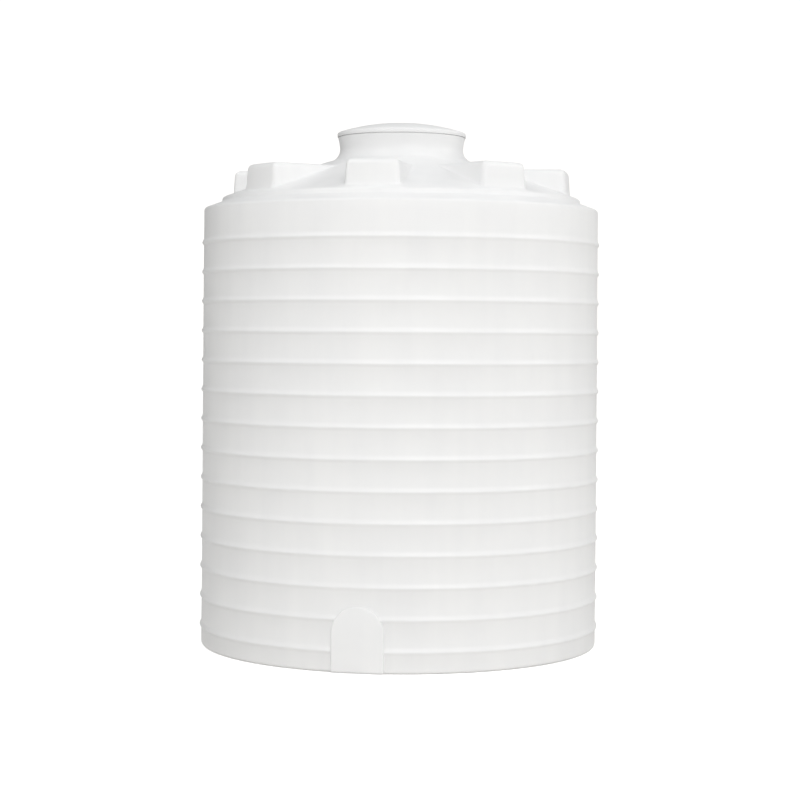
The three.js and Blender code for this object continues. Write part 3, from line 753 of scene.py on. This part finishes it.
def inlet_details():
    """Washers, nut and threaded tail outside the wall, and the float on its rod inside."""
    matrix = wall_frame(FITTING_TURN, SEAT_FACE, FITTING_Z)
    seat_boss("inlet_seat_boss", matrix, 38)
    fitted("inlet_outer_washer", matrix, ring(17.2, 30, 0.3, 3.3), 1.2)
    fitted("inlet_inner_washer", matrix, ring(17.2, 30, -11.3, -8.3), 1.2)
    nut("inlet_lock_nut", matrix, 27, 17, 3.6, 15.6)
    tail = [(15.5, 15.9), *threaded(17.3, 16, 45.5, 1.8), (17.1, 46), (16, 48.2), (9.1, 48.2), (9.1, 47.8)]
    tail += [(15.5, 47.8)]
    sleeve = lathe("inlet_tail_thread", rounded(tail, 0.5), 96, thread(17.3, 16, 45.5, 1.8, 0.8))
    settled(sleeve, matrix, "tank", "brass")

    arm = matrix @ Matrix.Translation((0, -20 * MM, -80 * MM)) @ Matrix.Rotation(np.radians(130), 4, "X")
    rod = [(0, 16), (4.2, 16), (4.2, 352), (0, 352)]
    settled(lathe("float_rod", rounded(rod, 0.8), 64), arm, "float", "brass")
    half = [(75 * np.cos(a), 75 * np.sin(a)) for a in np.radians(np.linspace(1.5, 86, 40))]
    top = [(r, 422 + z) for r, z in half]
    low = [(r, 422 - z) for r, z in reversed(half)]
    neck = [(0, 340), (8, 340), (8, 350)]
    seam = [(76, 420.6), (76, 423.4)]
    fitted("float_ball", arm, [*neck, *low[1:], *seam, *top, (0, 497)], 0.8, None, "float")
    nut("float_ball_nut", arm, 9, 4.4, 332, 339.8, "float")


def elbow(name):
    """Socketed bend turned down, swept along its centre line."""
    path = [(0, z, 0.0) for z in (15, 17, 29, 31, 33, 45)]
    path += [(42 * (np.cos(a) - 1), 45 + 42 * np.sin(a), a) for a in np.radians(np.linspace(6, 84, 14))]
    path += [(-y, 87, np.pi / 2) for y in (42, 52, 54, 56, 70, 72)]
    outer = [32.4, 33.4, 33.4, 32.6, 30.5] + [30.5] * 17 + [32.6, 33.4, 33.4, 32.4]
    angles = 2 * np.pi * np.arange(96) / 96

    def hoop(station, radius):
        y, z, turn = station
        reach = radius * np.sin(angles)
        return np.stack([radius * np.cos(angles), y + reach * np.cos(turn), z + reach * np.sin(turn)], -1)

    rows = [hoop(station, radius) for station, radius in zip(path, outer)]
    rows += [hoop(station, 26) for station in reversed(path)]
    return mesh_object(name, *looped(np.array(rows)))


def overflow_details():
    """Bulkhead, gaskets and nut through the wall, with a bend turned down outside."""
    matrix = wall_frame(-FITTING_TURN, SEAT_FACE, FITTING_Z)
    seat_boss("overflow_seat_boss", matrix, 50)
    fitted("overflow_outer_gasket", matrix, ring(30.5, 43, 0.3, 3.8), 1.4)
    fitted("overflow_inner_gasket", matrix, ring(30.5, 40, -11.8, -8.3), 1.4)
    profile = [(21, -38), *threaded(29.8, -37, 3.6, 3), (29.8, 4.1), (45, 4.1), (45, 11), (41, 12.6)]
    profile += [(30, 14), (25, 14), (25, 38), (21, 38)]
    fitted("overflow_bulkhead", matrix, profile, 1.0, thread(29.8, -37, 3.6, 3, 1))
    nut("overflow_lock_nut", matrix, 43, 30.3, -27.3, -12.1)
    settled(elbow("overflow_elbow_detail"), matrix, "tank", "grey_pvc", "overflow_elbow")


def vent_details():
    """Stem, nut, woven screen and mushroom cap on the rear lobe."""
    matrix = vent_frame()
    fitted("vent_gasket", matrix, ring(17.2, 31, 0.3, 3.3), 1.2)
    profile = [(12, -32), *threaded(16.5, -31, 3, 2), (16.5, 3.6), (31, 3.6), (31, 8), (27, 10), (16, 12)]
    profile += [(16, 24), (24, 26), (34, 28), (34, 31), (12, 31)]
    fitted("vent_stem", matrix, profile, 0.9, thread(16.5, -31, 3, 2, 0.9))
    nut("vent_lock_nut", matrix, 27, 17, -20.3, -8.3)
    woven = [(30, 31.3), *threaded(31.5, 31.6, 53.8, 1.5), (31.5, 54), (30, 54)]
    fitted("vent_screen", matrix, woven, 0.3, weave, segments=360)
    profile = [(0, 54.3), (34, 54.3), (49, 51.5), (51, 49), (51, 34), (55, 34), (55, 53), (52.5, 57.5)]
    profile += [(46, 62), (38, 65.5), (30, 67.4), (20, 68.6), (14, 70), (0, 70)]
    fitted("vent_cap", matrix, profile, 1.6, grips(30, 53, 1.3), segments=360)


placed(
    lathe("lid_gasket_detail", [(r * MM, z * MM) for r, z in rounded(ring(264, 276, 2259.3, 2262.3), 1.3)]),
    "lid_gasket",
    "black_rubber",
    "lid_gasket",
)
outlet_details()
inlet_details()
overflow_details()
vent_details()

# ---------------------------------------------------------------- floor, backdrop and light


SURROUND = 0.555  # light from all round
BACKDROP = 1.1  # what the camera sees of it
FLOOR_GLOW = 0.6  # lifts the floor to the backdrop's white, for the camera only


def studio_floor():
    """Plain pale floor that reaches far past the view."""
    size = 60
    corners = [(-size, -size, 0), (size, -size, 0), (size, size, 0), (-size, size, 0)]
    floor = mesh_object("floor", corners, [(0, 1, 2, 3)], smooth=False)
    made, nodes, links, shader = material("studio_floor", (0.86, 0.85, 0.83), 0.9)
    shader.inputs["Emission Color"].default_value = (1, 1, 1, 1)
    path = nodes.new("ShaderNodeLightPath")
    glow = nodes.new("ShaderNodeMapRange")
    glow.inputs["To Max"].default_value = FLOOR_GLOW
    links.new(path.outputs["Is Camera Ray"], glow.inputs["Value"])
    links.new(glow.outputs["Result"], shader.inputs["Emission Strength"])
    shader.inputs["Specular IOR Level"].default_value = 0.1
    floor.data.materials.append(made)


def soft_box(name, azimuth, elevation, distance, size, power, height=1.15):
    """A square area light that faces the tank at a height. Azimuth is measured like the camera's."""
    data = bpy.data.lights.new(name, "AREA")
    data.shape = "SQUARE"
    data.size = size
    data.energy = power
    light = bpy.data.objects.new(name, data)
    bpy.context.scene.collection.objects.link(light)
    turn, lift = np.radians([azimuth, elevation])
    target = Vector((0, 0, height))
    away = Vector((np.sin(turn) * np.cos(lift), -np.cos(turn) * np.cos(lift), np.sin(lift)))
    light.location = target + away * distance
    light.rotation_euler = (-away).to_track_quat("-Z", "Y").to_euler()


def studio_light():
    """A white surround that darkens behind the tank on its left, a soft key in front and three fills."""
    world = bpy.data.worlds.new("studio")
    world.use_nodes = True
    nodes = world.node_tree.nodes
    background = nodes["Background"]
    links = world.node_tree.links
    # cooler light from above, warmer from the sides and below
    direction = nodes.new("ShaderNodeTexCoord")
    height = nodes.new("ShaderNodeSeparateXYZ")
    links.new(direction.outputs["Generated"], height.inputs["Vector"])
    upward = ramp_node(nodes, links, height.outputs["Z"], 0, 1, (0, 1))
    links.new(tint(nodes, links, upward, (1, 0.985, 0.965), (0.965, 0.985, 1)), background.inputs["Color"])
    path = nodes.new("ShaderNodeLightPath")
    strength = nodes.new("ShaderNodeMapRange")
    strength.inputs["To Max"].default_value = BACKDROP
    # the darker part stands in for a black flag, which shades the tank's left edge
    flag = nodes.new("ShaderNodeVectorMath")
    flag.operation = "DOT_PRODUCT"
    behind_left = np.radians(CAMERA_AZIMUTH + 180 + 40)
    flag.inputs[1].default_value = (np.sin(behind_left), -np.cos(behind_left), 0)
    links.new(direction.outputs["Generated"], flag.inputs[0])
    shaded = ramp_node(nodes, links, flag.outputs["Value"], 1.03 * SURROUND, 0.12 * SURROUND, (0.6, 0.95))
    links.new(shaded, strength.inputs["To Min"])
    links.new(path.outputs["Is Camera Ray"], strength.inputs["Value"])
    links.new(strength.outputs["Result"], background.inputs["Strength"])
    bpy.context.scene.world = world
    soft_box("key", CAMERA_AZIMUTH + 10, 30, 11, 5, 300)
    soft_box("fill", CAMERA_AZIMUTH + 85, 32, 11, 5, 235)
    soft_box("left_fill", CAMERA_AZIMUTH - 55, 56, 11, 4, 215)
    soft_box("low_fill", CAMERA_AZIMUTH - 5, 3, 7, 3, 30, 0.1)


studio_floor()
studio_light()
bpy.context.scene.view_settings.view_transform = "Standard"
